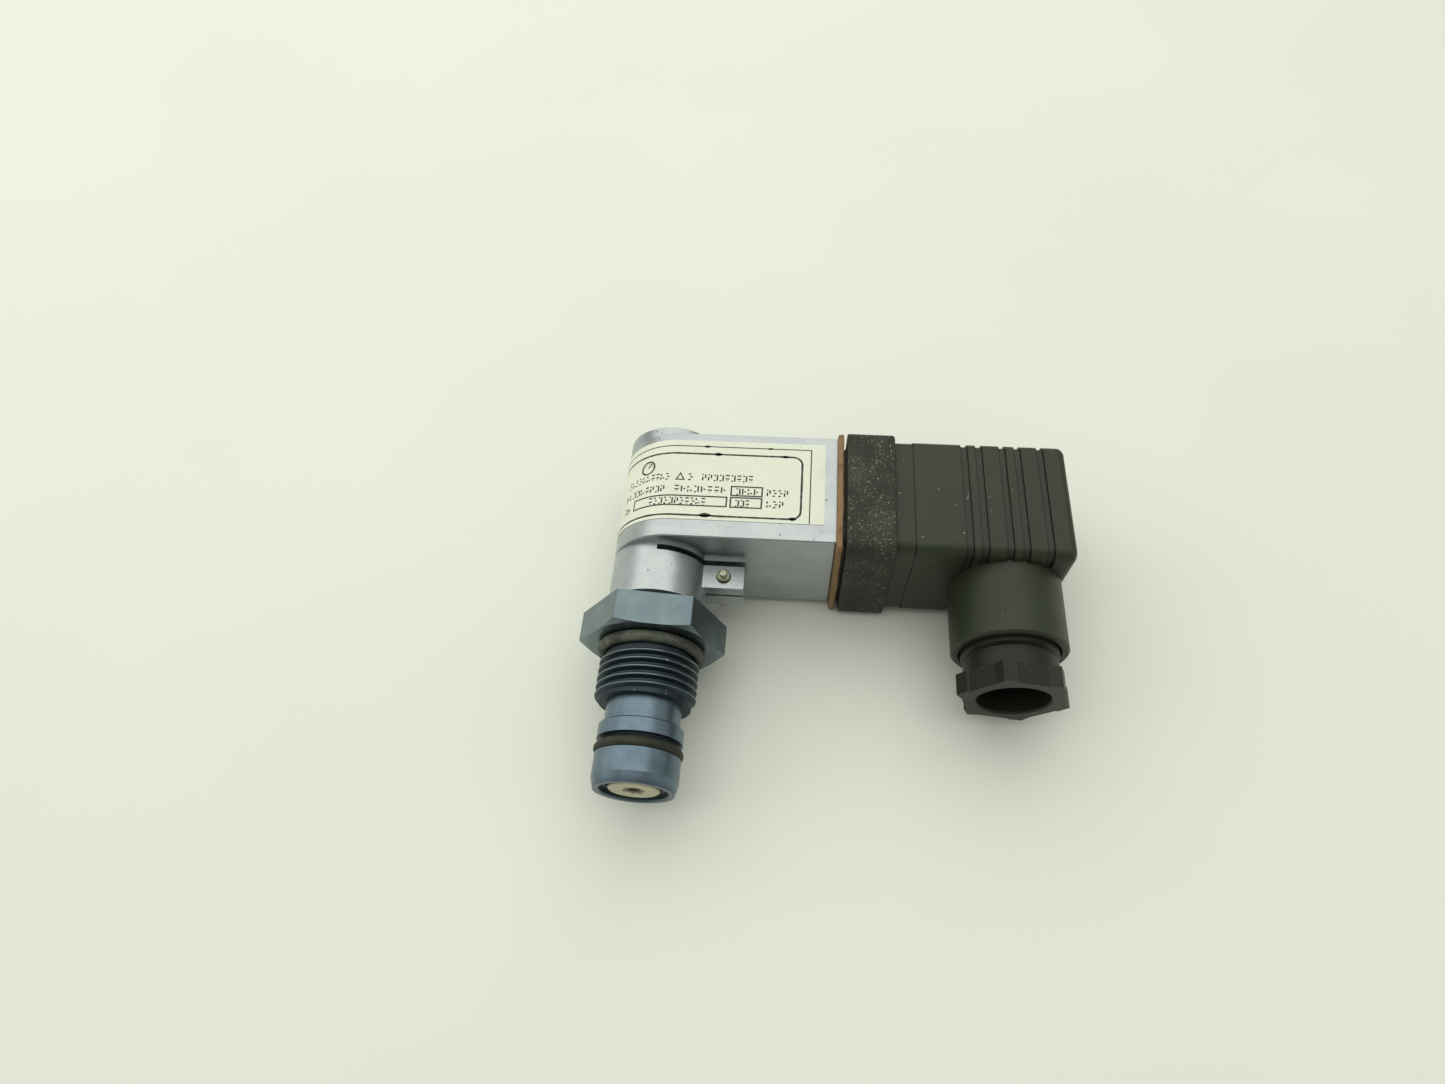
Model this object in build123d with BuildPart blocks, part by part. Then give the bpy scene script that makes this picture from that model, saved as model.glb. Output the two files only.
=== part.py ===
from build123d import *
from math import cos, radians, sin
import os

# Electrical differential-pressure indicator of the screw-in cartridge kind, with its plug.
# Millimetres. The origin is on the cartridge axis, in the face of the hex that closes the port.
# Y runs along the cartridge away from the port, X towards the cable plug, Z out of the label.

# cartridge, stations along Y and radii about it
NOSE_TIP = -31.85
NOSE_SHOULDER = -29.65
NOSE_RIM_R = 8.55
NOSE_R = 9.2
RING_GROOVE = (-24.7, -21.5)
RING_GROOVE_R = 7.3
LAND_END = -18.35
NECK_R = 8.2
THREAD = (-13.4, -2.9)
THREAD_R = 11.05
THREAD_PITCH = 1.814
THREAD_DEPTH = 0.98
SEAT_R = 9.6
HEX_ACROSS_FLATS = 28.58
HEX_THICK = 7.3
HEX_TURN = 6.3
HEX_FACE_R = 14.5
HEX_CHAMFER_RISE = 0.3
HEX_EDGE_R = 0.6
SHOULDER_R = 9.4
STEM_R = 8.0
STEM_END = 23.5
MOUTH_R = 7.25
BORE_R = 6.3
BORE_STEP = 2.0
MAGNET_BORE_R = 5.2
BORE_END = 22.0
CLIP_GROOVE = (-30.75, -29.85)
DISC_BACK = -28.75
PORT_Y = -15.9
PORT_R = 1.25

# piston and spring
PISTON_R = 6.25
PISTON = (-28.7, -20.7)
STEM_ROD_R = 2.5
MAGNET = (12.5, 18.0)
MAGNET_R = 4.6
PIN_R = 2.0
SPRING_R = 4.6
WIRE_R = 0.5
GUIDE = (-2.0, 2.0)

# indicator housing
BLOCK = (21.6, 50.1)
BLOCK_HALF = 14.29
COLLAR_R = 11.3
COLLAR_BOTTOM = 9.6
ROUND_X = BLOCK_HALF - COLLAR_R
BLOCK_END = 39.8
BOSS_TOP = 54.1
EAR_X = 19.7
EAR_Y = (14.0, 19.65)
EAR_Z = (-3.4, 4.7)
SLIT = (19.65, 20.95)
SPLIT = (0.75, 1.45)
CLAMP_SCREW_X = 15.05
CLAMP_SCREW_Y = 16.9
CLAMP_SCREW_R = 1.5
CLAMP_HOLE_R = 1.68
CLAMP_HEAD = (2.5, 2.2)
PLUG_Y = 35.25
SWITCH_R = 5.6
SWITCH = (24.3, 46.0)
POCKET = (24.0, 46.5)
CAVITY_X = 22.0
CAVITY_HALF = 10.0

# label
LABEL_X = 37.1
LABEL_Y = (26.0, 47.9)
LABEL_THICK = 0.12
LABEL_WRAP = 105.0

# connector base on the housing
GASKET_END = 41.1
GASKET_HALF = 15.5
BASE_HALF = 13.5
BASE_END = 44.1
BASE_BOSS_R = 10.6
BASE_BOSS_END = 46.4
BASE_SCREW_AT = 11.2
BLADE_AT = 9.0
BLADE_WIDTH = 6.3
BLADE_THICK = 0.8
BLADE_END = 57.4
TAIL_START = 36.5
TAIL_WIDTH = 2.8

# plug
BOOT = (42.05, 52.95)
BOOT_HALF = 16.3
BOOT_CORNER_R = 3.0
SKIRT_START = 46.2
SKIRT_HALF = 13.0
PLUG_HALF = 15.1
PLUG_CORNER_R = 2.7
PLUG_END = 91.6
PLUG_WALL = 3.0
PLUG_CAVITY_HALF = PLUG_HALF - PLUG_WALL
GROOVES = ((68.8, 1.5), (72.1, 1.5), (77.4, 1.4), (80.8, 1.4), (85.9, 1.4))
GROOVE_DEPTH = 0.4
PLUG_STEP = (4.2, 0.15)
INSERT = (46.8, 66.0)
INSERT_HALF = 11.9
SOCKET_MOUTH = 48.0
SOCKET_BACK = 60.0
CENTRE_SCREW_R = 1.5
CENTRE_SCREW_TIP = 41.9
SEAL_FACE = 88.2
HEAD_FACE = 88.9

# cable gland
GLAND_X = 78.8
GLAND_R = 12.57
GLAND_RIM = 3.5
GLAND_BORE_R = 10.66
GLAND_SEAT = 10.3
GROMMET = (10.35, 19.4)
GROMMET_R = 9.5
CABLE_R = 4.75
NUT_FACE = -7.1
NUT_HEAD_END = -2.5
NUT_CORNER_R = 12.4
NUT_STEP_R = 11.4
NUT_FLAT_R = 10.8
NUT_TURN = -8.5
NUT_BORE_R = 7.7
NUT_THREAD_R = 10.5
NUT_TIP = 8.9

os.makedirs("parts", exist_ok=True)


def section(y):
    """Plane square to the cartridge axis at y, its own y being +Z, extruding towards -Y."""
    return Plane.XZ.offset(-y)


def save(solid, name):
    solid.label = name
    export_step(solid, f"parts/{name}.step")


def make_cartridge_body():
    """Turned body: sealing nose, port thread, hex and the stem that the housing clamps."""
    root_r = THREAD_R - THREAD_DEPTH
    with BuildPart() as cartridge_body:
        with BuildSketch(section(0)):
            RegularPolygon(HEX_ACROSS_FLATS / 2, 6, major_radius=False, rotation=-HEX_TURN)
        extrude(amount=-HEX_THICK)
        fillet(cartridge_body.edges().filter_by(Axis.Y), HEX_EDGE_R)
        with BuildSketch(Plane.XY):
            with BuildLine():
                Polyline(
                    (0, 0),
                    (HEX_FACE_R, 0),
                    (HEX_FACE_R + 2.5, 2.5 * HEX_CHAMFER_RISE),
                    (HEX_FACE_R + 2.5, HEX_THICK),
                    (0, HEX_THICK),
                    close=True,
                )
            make_face()
        revolve(axis=Axis.Y, mode=Mode.INTERSECT)
        with BuildSketch(Plane.XY):
            with BuildLine():
                Polyline(
                    (0, NOSE_TIP),
                    (NOSE_RIM_R, NOSE_TIP),
                    (NOSE_R, NOSE_SHOULDER),
                    (NOSE_R, RING_GROOVE[0]),
                    (RING_GROOVE_R, RING_GROOVE[0]),
                    (RING_GROOVE_R, RING_GROOVE[1]),
                    (NOSE_R, RING_GROOVE[1]),
                    (NOSE_R, LAND_END - 0.25),
                    (NOSE_R - 0.25, LAND_END),
                    (NECK_R, LAND_END),
                    (NECK_R, THREAD[0]),
                    (root_r, THREAD[0]),
                    (root_r, THREAD[1]),
                    (SEAT_R, THREAD[1]),
                    (SEAT_R, 0),
                    (SEAT_R, HEX_THICK),
                    (SHOULDER_R, HEX_THICK),
                    (SHOULDER_R, COLLAR_BOTTOM),
                    (STEM_R, COLLAR_BOTTOM),
                    (STEM_R, STEM_END - 0.4),
                    (STEM_R - 0.4, STEM_END),
                    (0, STEM_END),
                    close=True,
                )
            make_face()
        revolve(axis=Axis.Y)
        with BuildLine() as helix:
            Helix(
                THREAD_PITCH,
                THREAD[1] - THREAD[0] - 1.3,
                root_r,
                center=(0, THREAD[1] - 0.65, 0),
                direction=(0, -1, 0),
            )
        start = helix.line @ 0
        outward = Vector(start.X, 0, start.Z).normalized()
        with BuildSketch(Plane(origin=start, x_dir=outward, z_dir=helix.line % 0)):
            with BuildLine():
                Polyline(
                    (-0.15, -0.79),
                    (THREAD_DEPTH - 0.08, -0.19),
                    (THREAD_DEPTH, -0.1),
                    (THREAD_DEPTH, 0.1),
                    (THREAD_DEPTH - 0.08, 0.19),
                    (-0.15, 0.79),
                    close=True,
                )
            make_face()
        sweep(path=helix.line, is_frenet=True)
        # the thread's two ends are turned down to its root
        with BuildSketch(Plane.XY):
            with BuildLine():
                Polyline((12, THREAD[1]), (root_r, THREAD[1]), (12, THREAD[1] - 1.2), close=True)
            make_face()
            with BuildLine():
                Polyline((12, THREAD[0]), (root_r, THREAD[0]), (12, THREAD[0] + 2.0), close=True)
            make_face()
        revolve(axis=Axis.Y, mode=Mode.SUBTRACT)
        # stepped bore, open at the nose
        with BuildSketch(Plane.XY):
            with BuildLine():
                Polyline(
                    (0, NOSE_TIP - 1),
                    (MOUTH_R + 1.3, NOSE_TIP - 1),
                    (MOUTH_R, NOSE_TIP + 0.3),
                    (MOUTH_R, CLIP_GROOVE[0]),
                    (MOUTH_R + 0.55, CLIP_GROOVE[0]),
                    (MOUTH_R + 0.55, CLIP_GROOVE[1]),
                    (MOUTH_R, CLIP_GROOVE[1]),
                    (MOUTH_R, DISC_BACK),
                    (BORE_R, DISC_BACK),
                    (BORE_R, BORE_STEP),
                    (MAGNET_BORE_R, BORE_STEP),
                    (MAGNET_BORE_R, BORE_END),
                    (0, BORE_END),
                    close=True,
                )
            make_face()
        revolve(axis=Axis.Y, mode=Mode.SUBTRACT)
        # low-pressure ports in the neck
        for angle in (-45, 225):
            direction = (cos(radians(angle)), 0, sin(radians(angle)))
            with BuildSketch(Plane(origin=(0, PORT_Y, 0), x_dir=(0, 1, 0), z_dir=direction)):
                Circle(PORT_R)
            extrude(amount=NECK_R + 1, mode=Mode.SUBTRACT)
    save(cartridge_body.part, "cartridge_body")


def make_ring(name, ring_r, cord_r, y):
    """Round-section ring about the cartridge axis."""
    with BuildPart() as ring:
        with BuildSketch(Plane.XY):
            with Locations((ring_r, y)):
                Circle(cord_r)
        revolve(axis=Axis.Y)
    save(ring.part, name)


def make_retaining_ring():
    """Sprung wire ring in the nose groove, open at the top."""
    with BuildPart() as retaining_ring:
        with BuildSketch(section(CLIP_GROOVE[1] - 0.05)):
            Circle(MOUTH_R + 0.5)
            Circle(5.9, mode=Mode.SUBTRACT)
            with Locations((0, 8)):
                Rectangle(4.5, 8, mode=Mode.SUBTRACT)
        extrude(amount=0.8)
        chamfer(retaining_ring.edges().filter_by(GeomType.CIRCLE).group_by(Axis.Y)[0], 0.15)
    save(retaining_ring.part, "retaining_ring")


def make_inlet_disc():
    """Moulded disc that lets the inlet pressure through its middle hole to the piston."""
    with BuildPart() as inlet_disc:
        with BuildSketch(Plane.XY):
            with BuildLine():
                Polyline(
                    (1.3, -31.25),
                    (3.0, -31.45),
                    (5.15, -31.5),
                    (5.45, -31.3),
                    (5.45, -29.88),
                    (MOUTH_R - 0.1, -29.88),
                    (MOUTH_R - 0.1, DISC_BACK),
                    (1.3, DISC_BACK),
                    close=True,
                )
            make_face()
        revolve(axis=Axis.Y)
    save(inlet_disc.part, "inlet_disc")


def make_piston():
    """Piston with its seal groove and the rod that carries the magnet."""
    with BuildPart() as piston:
        with BuildSketch(Plane.XY):
            with BuildLine():
                Polyline(
                    (0, PISTON[0] + 1.5),
                    (2.5, PISTON[0]),
                    (PISTON_R - 0.3, PISTON[0]),
                    (PISTON_R, PISTON[0] + 0.3),
                    (PISTON_R, -25.9),
                    (4.85, -25.9),
                    (4.85, -23.7),
                    (PISTON_R, -23.7),
                    (PISTON_R, PISTON[1]),
                    (STEM_ROD_R, PISTON[1]),
                    (STEM_ROD_R, MAGNET[0]),
                    (PIN_R, MAGNET[0]),
                    (PIN_R, 19.0),
                    (0, 19.0),
                    close=True,
                )
            make_face()
        revolve(axis=Axis.Y)
    save(piston.part, "piston")


def make_turned(name, inner_r, outer_r, y_from, y_to, edge=0.2):
    """Plain turned ring about the cartridge axis, its outer edges broken."""
    with BuildPart() as ring:
        with BuildSketch(section(y_to)):
            Circle(outer_r)
            Circle(inner_r, mode=Mode.SUBTRACT)
        extrude(amount=y_to - y_from)
        rims = ring.edges().filter_by(GeomType.CIRCLE).sort_by(SortBy.RADIUS)[-2:]
        chamfer(rims, edge)
    save(ring.part, name)


def make_return_spring():
    """Compression spring between the piston's back and the spring guide."""
    low = PISTON[1] + WIRE_R + 0.02
    high = GUIDE[0] - WIRE_R - 0.02
    with BuildPart() as return_spring:
        with BuildLine() as helix:
            Helix((high - low) / 7, high - low, SPRING_R, center=(0, low, 0), direction=(0, 1, 0))
        with BuildSketch(Plane(origin=helix.line @ 0, z_dir=helix.line % 0)):
            Circle(WIRE_R)
        sweep(path=helix.line, is_frenet=True)
    save(return_spring.part, "return_spring")


def make_indicator_housing():
    """Milled block with a round end, a split clamp collar below it and a round cap boss above it."""
    with BuildPart() as housing:
        with BuildSketch(section(BLOCK[1])):
            with Locations((ROUND_X, 0)):
                Circle(BLOCK_HALF)
            with Locations(((ROUND_X + BLOCK_END) / 2, 0)):
                Rectangle(BLOCK_END - ROUND_X, 2 * BLOCK_HALF)
        extrude(amount=BLOCK[1] - BLOCK[0])
        chamfer(housing.faces().sort_by(Axis.Y)[-1].edges(), 0.25)
        chamfer(housing.faces().sort_by(Axis.Y)[0].edges(), 0.25)
        with BuildSketch(section(BOSS_TOP)):
            Circle(COLLAR_R)
        extrude(amount=BOSS_TOP - BLOCK[1])
        chamfer(housing.faces().sort_by(Axis.Y)[-1].edges(), 0.3)
        # collar with its ears; a thin land of the same outline stays on the block above the slit
        with BuildSketch(section(BLOCK[0])):
            Circle(COLLAR_R)
            with Locations(((EAR_X + 0.2) / 2, sum(EAR_Z) / 2)):
                Rectangle(EAR_X + 0.2, EAR_Z[1] - EAR_Z[0])
        extrude(amount=BLOCK[0] - SLIT[1])
        with BuildSketch(section(SLIT[1])):
            Circle(COLLAR_R)
        extrude(amount=SLIT[1] - COLLAR_BOTTOM)
        with BuildSketch(section(EAR_Y[1])):
            with Locations((EAR_X / 2, sum(EAR_Z) / 2)):
                Rectangle(EAR_X, EAR_Z[1] - EAR_Z[0])
        extrude(amount=EAR_Y[1] - EAR_Y[0])
        # slit across the collar's plug side, and the saw cut between the ears
        with BuildSketch(section(SLIT[1])):
            with Locations((15, 0)):
                Rectangle(30, 30)
        extrude(amount=SLIT[1] - SLIT[0], mode=Mode.SUBTRACT)
        with BuildSketch(section(SLIT[1])):
            with Locations((15, sum(SPLIT) / 2)):
                Rectangle(30, SPLIT[1] - SPLIT[0])
        extrude(amount=SLIT[1] - COLLAR_BOTTOM, mode=Mode.SUBTRACT)
        # stem bore, then the pocket for the switch
        with BuildSketch(section(COLLAR_BOTTOM)):
            Circle(STEM_R + 0.05)
        extrude(amount=COLLAR_BOTTOM - POCKET[0], mode=Mode.SUBTRACT)
        with BuildSketch(section(POCKET[0])):
            Circle(SWITCH_R + 0.1)
        extrude(amount=POCKET[0] - POCKET[1], mode=Mode.SUBTRACT)
        # wiring duct, connector cavity and the holes for the base screws
        with BuildSketch(Plane.YZ.offset(4.0)):
            with Locations((PLUG_Y, 0)):
                Circle(2.4)
        extrude(amount=CAVITY_X - 4.0, mode=Mode.SUBTRACT)
        with BuildSketch(Plane.YZ.offset(CAVITY_X)):
            with Locations((PLUG_Y, 0)):
                RectangleRounded(2 * CAVITY_HALF, 2 * CAVITY_HALF, 3)
        extrude(amount=BLOCK_END - CAVITY_X, mode=Mode.SUBTRACT)
        with BuildSketch(Plane.YZ.offset(BLOCK_END)):
            with Locations((PLUG_Y, 0)):
                with GridLocations(2 * BASE_SCREW_AT, 2 * BASE_SCREW_AT, 2, 2):
                    Circle(1.15)
        extrude(amount=-9.0, mode=Mode.SUBTRACT)
        # clamp screw: thread in the upper ear, clearance in the lower one
        with BuildSketch(Plane.XY.offset(EAR_Z[0])):
            with Locations((CLAMP_SCREW_X, CLAMP_SCREW_Y)):
                Circle(CLAMP_HOLE_R)
        extrude(amount=EAR_Z[1] - EAR_Z[0], mode=Mode.SUBTRACT)
    save(housing.part, "indicator_housing")


def make_clamp_screw():
    """Socket-head screw up through both ears, its last turns and a turned point above them."""
    at = (CLAMP_SCREW_X, CLAMP_SCREW_Y)
    thread_end = EAR_Z[1] + 0.9
    with BuildPart() as clamp_screw:
        with BuildSketch(Plane.XY.offset(EAR_Z[0] - CLAMP_HEAD[1])):
            with Locations(at):
                Circle(CLAMP_HEAD[0])
        extrude(amount=CLAMP_HEAD[1] - 0.02)
        chamfer(clamp_screw.faces().sort_by(Axis.Z)[0].edges(), 0.3)
        with BuildSketch(Plane.XY.offset(EAR_Z[0] - 0.02)):
            with Locations(at):
                Circle(CLAMP_SCREW_R)
        extrude(amount=thread_end - EAR_Z[0])
        chamfer(clamp_screw.faces().sort_by(Axis.Z)[-1].edges(), 0.2)
        for turn in range(3):
            with BuildSketch(Plane.XY.offset(thread_end - 0.35 - 0.5 * turn)):
                with Locations(at):
                    Circle(CLAMP_SCREW_R + 0.1)
                    Circle(CLAMP_SCREW_R - 0.22, mode=Mode.SUBTRACT)
            extrude(amount=-0.2, mode=Mode.SUBTRACT)
        with BuildSketch(Plane.XY.offset(thread_end - 0.1)):
            with Locations(at):
                Circle(0.95)
        extrude(amount=1.3)
        fillet(clamp_screw.faces().sort_by(Axis.Z)[-1].edges(), 0.3)
        with BuildSketch(Plane.XY.offset(EAR_Z[0] - CLAMP_HEAD[1])):
            with Locations(at):
                RegularPolygon(1.25, 6, major_radius=False)
        extrude(amount=1.3, mode=Mode.SUBTRACT)
    save(clamp_screw.part, "clamp_screw")


def make_label():
    """Thin label over the block's face, carried on round its end."""
    inner_r = BLOCK_HALF + 0.01
    outer_r = inner_r + LABEL_THICK
    with BuildPart() as label:
        with BuildSketch(section(LABEL_Y[1])):
            with BuildLine():
                face = Line((LABEL_X, inner_r), (ROUND_X, inner_r))
                inner = CenterArc((ROUND_X, 0), inner_r, 90, LABEL_WRAP)
                outer = CenterArc((ROUND_X, 0), outer_r, 90, LABEL_WRAP)
                Line(inner @ 1, outer @ 1)
                top = Line(outer @ 0, (LABEL_X, outer_r))
                Line(top @ 1, face @ 0)
            make_face()
        extrude(amount=LABEL_Y[1] - LABEL_Y[0])
    save(label.part, "label")


def make_switch_capsule():
    """Potted reed switch that the magnet trips through the closed end of the stem."""
    with BuildPart() as switch_capsule:
        with BuildSketch(section(SWITCH[1])):
            Circle(SWITCH_R)
        extrude(amount=SWITCH[1] - SWITCH[0])
        fillet(switch_capsule.edges().filter_by(GeomType.CIRCLE), 0.5)
    save(switch_capsule.part, "switch_capsule")


def make_switch_leads():
    """Three insulated leads from the switch to the backs of the contact blades."""
    with BuildPart() as switch_leads:
        routes = (
            ((-1.0, -0.6), (-BLADE_AT, 0)),
            ((1.0, -0.6), (BLADE_AT, 0)),
            ((0, 1.1), (0, BLADE_AT)),
        )
        for near, far in routes:
            points = (
                (6.2, PLUG_Y + near[0], near[1]),
                (24.5, PLUG_Y + near[0], near[1]),
                (31.0, PLUG_Y + far[0], far[1]),
                (TAIL_START - 0.1, PLUG_Y + far[0], far[1]),
            )
            with BuildLine() as route:
                FilletPolyline(*points, radius=4)
            with BuildSketch(Plane(origin=points[0], z_dir=(1, 0, 0))):
                Circle(0.65)
            sweep(path=route.line)
    save(switch_leads.part, "switch_leads")


def make_flange_gasket():
    """Flat gasket between the block and the connector base, a little larger than the block."""
    with BuildPart() as flange_gasket:
        with BuildSketch(Plane.YZ.offset(BLOCK_END)):
            with Locations((PLUG_Y, 0)):
                RectangleRounded(2 * GASKET_HALF, 2 * GASKET_HALF, 1.2)
                RectangleRounded(2 * CAVITY_HALF, 2 * CAVITY_HALF, 3, mode=Mode.SUBTRACT)
                with GridLocations(2 * BASE_SCREW_AT, 2 * BASE_SCREW_AT, 2, 2):
                    Circle(1.25, mode=Mode.SUBTRACT)
        extrude(amount=GASKET_END - BLOCK_END)
    save(flange_gasket.part, "flange_gasket")


def blade_places():
    """Middle and width direction of each contact blade: two live, one spare, one earth."""
    return ((-BLADE_AT, 0, False), (BLADE_AT, 0, False), (0, BLADE_AT, True), (0, -BLADE_AT, True))


def oblong(y, z, width, thick, flat):
    """Rectangle of a blade, contact or slot in the plug's cross-section."""
    with Locations((PLUG_Y + y, z)):
        if flat:
            Rectangle(width, thick)
        else:
            Rectangle(thick, width)


def make_connector_base():
    """Moulded base that holds the blades, with a threaded middle hole for the plug's screw."""
    with BuildPart() as connector_base:
        with BuildSketch(Plane.YZ.offset(GASKET_END)):
            with Locations((PLUG_Y, 0)):
                RectangleRounded(2 * BASE_HALF, 2 * BASE_HALF, 2.5)
                with GridLocations(2 * BASE_SCREW_AT, 2 * BASE_SCREW_AT, 2, 2):
                    Circle(1.3, mode=Mode.SUBTRACT)
        extrude(amount=BASE_END - GASKET_END)
        with BuildSketch(Plane.YZ.offset(BASE_END)):
            with Locations((PLUG_Y, 0)):
                Circle(BASE_BOSS_R)
        extrude(amount=BASE_BOSS_END - BASE_END)
        with BuildSketch(Plane.YZ.offset(GASKET_END)):
            with Locations((PLUG_Y, 0)):
                Circle(1.58)
            for y, z, flat in blade_places():
                oblong(y, z, TAIL_WIDTH, BLADE_THICK, flat)
        extrude(amount=BASE_BOSS_END - GASKET_END, mode=Mode.SUBTRACT)
    save(connector_base.part, "connector_base")


def make_base_screws():
    """Four pan-head screws that hold the connector base to the block."""
    with BuildPart() as base_screws:
        with BuildSketch(Plane.YZ.offset(BASE_END)):
            with Locations((PLUG_Y, 0)):
                with GridLocations(2 * BASE_SCREW_AT, 2 * BASE_SCREW_AT, 2, 2):
                    Circle(2.15)
        extrude(amount=1.6)
        fillet(base_screws.faces().sort_by(Axis.X)[-4:].edges(), 0.6)
        with BuildSketch(Plane.YZ.offset(BASE_END)):
            with Locations((PLUG_Y, 0)):
                with GridLocations(2 * BASE_SCREW_AT, 2 * BASE_SCREW_AT, 2, 2):
                    Circle(1.1)
        extrude(amount=-12.0)
        with BuildSketch(Plane.YZ.offset(BASE_END + 1.6)):
            with Locations((PLUG_Y, 0)):
                with GridLocations(2 * BASE_SCREW_AT, 2 * BASE_SCREW_AT, 2, 2):
                    Rectangle(2.2, 0.5)
                    Rectangle(0.5, 2.2)
        extrude(amount=-0.9, mode=Mode.SUBTRACT)
    save(base_screws.part, "base_screws")


def make_blades(name, places):
    """Flat contact blades with narrow tails through the base."""
    with BuildPart() as blades:
        for y, z, flat in places:
            with BuildSketch(Plane.YZ.offset(TAIL_START)):
                oblong(y, z, TAIL_WIDTH, BLADE_THICK, flat)
            extrude(amount=BASE_BOSS_END - TAIL_START)
            with BuildSketch(Plane.YZ.offset(BASE_BOSS_END)):
                oblong(y, z, BLADE_WIDTH, BLADE_THICK, flat)
            extrude(amount=BLADE_END - BASE_BOSS_END)
        tips = blades.faces().sort_by(Axis.X)[-len(places):]
        chamfer(tips.edges().filter_by(lambda edge: edge.length > 1), 0.25)
    save(blades.part, name)


def make_socket_boot():
    """Rubber profile seal round the joint between the base and the plug."""
    with BuildPart() as socket_boot:
        with BuildSketch(Plane.YZ.offset(BOOT[0])):
            with Locations((PLUG_Y, 0)):
                RectangleRounded(2 * BOOT_HALF, 2 * BOOT_HALF, BOOT_CORNER_R)
        extrude(amount=BOOT[1] - BOOT[0])
        fillet(socket_boot.faces().sort_by(Axis.X)[-1].edges(), 0.5)
        fillet(socket_boot.faces().sort_by(Axis.X)[0].edges(), 0.3)
        with BuildSketch(Plane.YZ.offset(BOOT[0])):
            with Locations((PLUG_Y, 0)):
                RectangleRounded(2 * BASE_HALF + 0.7, 2 * BASE_HALF + 0.7, 2.6)
        extrude(amount=SKIRT_START - 0.2 - BOOT[0], mode=Mode.SUBTRACT)
        with BuildSketch(Plane.YZ.offset(BASE_END)):
            with Locations((PLUG_Y, 0)):
                RectangleRounded(2 * SKIRT_HALF, 2 * SKIRT_HALF, 2.0)
        extrude(amount=BOOT[1] - BASE_END, mode=Mode.SUBTRACT)
    save(socket_boot.part, "socket_boot")


def make_plug_housing():
    """Hollow right-angle plug housing with its cable outlet."""
    with BuildPart() as plug_housing:
        with BuildSketch(Plane.YZ.offset(BOOT[1])):
            with Locations((PLUG_Y, 0)):
                RectangleRounded(2 * PLUG_HALF, 2 * PLUG_HALF, PLUG_CORNER_R)
        extrude(amount=PLUG_END - BOOT[1])
        fillet(plug_housing.faces().sort_by(Axis.X)[-1].edges(), 1.8)
        # grip grooves all round
        floor = 2 * (PLUG_HALF - GROOVE_DEPTH)
        for x, width in GROOVES:
            with BuildSketch(Plane.YZ.offset(x - width / 2)):
                with Locations((PLUG_Y, 0)):
                    RectangleRounded(2 * PLUG_HALF + 2, 2 * PLUG_HALF + 2, 3.0)
                    RectangleRounded(floor, floor, PLUG_CORNER_R - 0.2, mode=Mode.SUBTRACT)
            extrude(amount=width, mode=Mode.SUBTRACT)
        # one step near the boot
        waist = 2 * (PLUG_HALF - PLUG_STEP[1])
        with BuildSketch(Plane.YZ.offset(BOOT[1])):
            with Locations((PLUG_Y, 0)):
                RectangleRounded(2 * PLUG_HALF + 2, 2 * PLUG_HALF + 2, 3.0)
                RectangleRounded(waist, waist, PLUG_CORNER_R, mode=Mode.SUBTRACT)
        extrude(amount=PLUG_STEP[0], mode=Mode.SUBTRACT)
        with BuildSketch(Plane.YZ.offset(SKIRT_START)):
            with Locations((PLUG_Y, 0)):
                RectangleRounded(2 * SKIRT_HALF, 2 * SKIRT_HALF, 2.0)
        extrude(amount=BOOT[1] - SKIRT_START)
        # outlet boss
        with BuildSketch(section(PLUG_Y)):
            with Locations((GLAND_X, 0)):
                Circle(GLAND_R)
        extrude(amount=PLUG_Y - GLAND_RIM)
        rim = plug_housing.faces().sort_by(Axis.Y)[0].edges()
        chamfer(rim, 0.5)
        # hollow, cable outlet, and the well of the middle screw
        with BuildSketch(Plane.YZ.offset(SKIRT_START)):
            with Locations((PLUG_Y, 0)):
                RectangleRounded(2 * PLUG_CAVITY_HALF, 2 * PLUG_CAVITY_HALF, 1.5)
        extrude(amount=PLUG_END - PLUG_WALL - SKIRT_START, mode=Mode.SUBTRACT)
        with BuildSketch(Plane.XY):
            with BuildLine():
                Polyline(
                    (GLAND_X, GLAND_RIM - 1),
                    (GLAND_X + GLAND_BORE_R + 0.4, GLAND_RIM - 1),
                    (GLAND_X + GLAND_BORE_R + 0.4, GLAND_RIM),
                    (GLAND_X + GLAND_BORE_R, GLAND_RIM + 0.5),
                    (GLAND_X + GLAND_BORE_R, GLAND_SEAT),
                    (GLAND_X + GROMMET_R + 0.1, GLAND_SEAT),
                    (GLAND_X + GROMMET_R + 0.1, GROMMET[1] + 0.1),
                    (GLAND_X + 6.5, GROMMET[1] + 0.1),
                    (GLAND_X + 6.5, PLUG_Y),
                    (GLAND_X, PLUG_Y),
                    close=True,
                )
            make_face()
        revolve(axis=Axis((GLAND_X, 0, 0), (0, 1, 0)), mode=Mode.SUBTRACT)
        with BuildSketch(Plane.YZ.offset(SEAL_FACE - 1.7)):
            with Locations((PLUG_Y, 0)):
                Circle(5.5)
        extrude(amount=PLUG_END - SEAL_FACE)
        with BuildSketch(Plane.YZ.offset(SEAL_FACE)):
            with Locations((PLUG_Y, 0)):
                Circle(4.2)
        extrude(amount=PLUG_END - SEAL_FACE, mode=Mode.SUBTRACT)
        with BuildSketch(Plane.YZ.offset(SEAL_FACE - 1.7)):
            with Locations((PLUG_Y, 0)):
                Circle(1.75)
        extrude(amount=3.0, mode=Mode.SUBTRACT)
    save(plug_housing.part, "plug_housing")


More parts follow.
